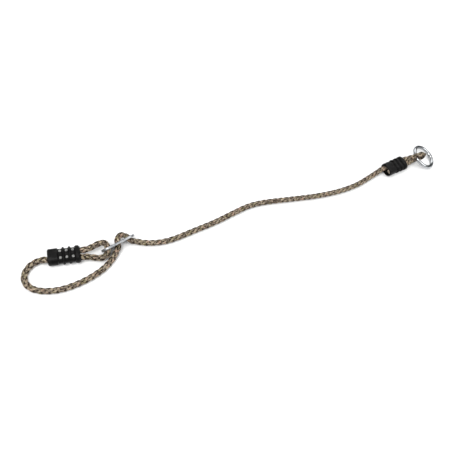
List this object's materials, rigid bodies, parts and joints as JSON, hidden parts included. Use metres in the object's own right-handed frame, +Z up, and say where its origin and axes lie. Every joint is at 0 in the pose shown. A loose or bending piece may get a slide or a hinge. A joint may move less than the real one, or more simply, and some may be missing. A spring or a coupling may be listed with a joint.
{
  "type": "adjustable hanging rope",
  "caption": "Adjustable hanging rope for a zip line or swing seat: braided rope, welded top ring, steel adjuster, big end loop and pinned black rope clamps.",
  "frame": {"origin": "middle of the fittings' box (ring, clamps and adjuster), on the surface that the rope lies on", "axes": "+X along the rope's length towards the top ring, +Z up from the surface"},
  "size_m": [0.7285, 0.3757, 0.031],
  "materials": {
    "rope": "plaited polypropylene hemp-look rope, tan with dark brown and olive flecks",
    "fused_rope_end": "melted and hardened rope fibre, glossy",
    "galvanised_steel": "bright galvanised steel wire, welded",
    "zinc_plated_steel": "zinc-plated pressed steel, slightly dull",
    "black_plastic": "moulded black nylon, satin",
    "pin_steel": "dull zinc-plated steel pins"
  },
  "bodies": {
    "rope_and_clamps": {"rope_ring_eye": "rope", "rope_main_run": "rope", "rope_adjuster_bight": "rope", "rope_loop": "rope", "rope_end_eye": "rope", "rope_cut_end_ring": "fused_rope_end", "rope_cut_end_loop": "fused_rope_end", "ring_clamp_upper_shell": "black_plastic", "ring_clamp_lower_shell": "black_plastic", "loop_clamp_upper_shell": "black_plastic", "loop_clamp_lower_shell": "black_plastic", "ring_clamp_pins": "pin_steel", "loop_clamp_pins": "pin_steel"},
    "ring": {"top_ring": "galvanised_steel"},
    "adjuster": {"adjuster_plate": "zinc_plated_steel"}
  },
  "joints": [
    {"name": "ring_swing", "type": "hinge", "parent": "rope_and_clamps", "child": "ring", "pos_m": [0.30258, 0.13196, 0.01636], "axis": [0.3627, -0.9185, -0.1573], "range_deg": [-130, 165]},
    {"name": "adjuster_lean", "type": "hinge", "parent": "rope_and_clamps", "child": "adjuster", "pos_m": [-0.2475, -0.1161, 0.01081], "axis": [0.7955, 0.606, 0], "range_deg": [-12, 10]}
  ]
}
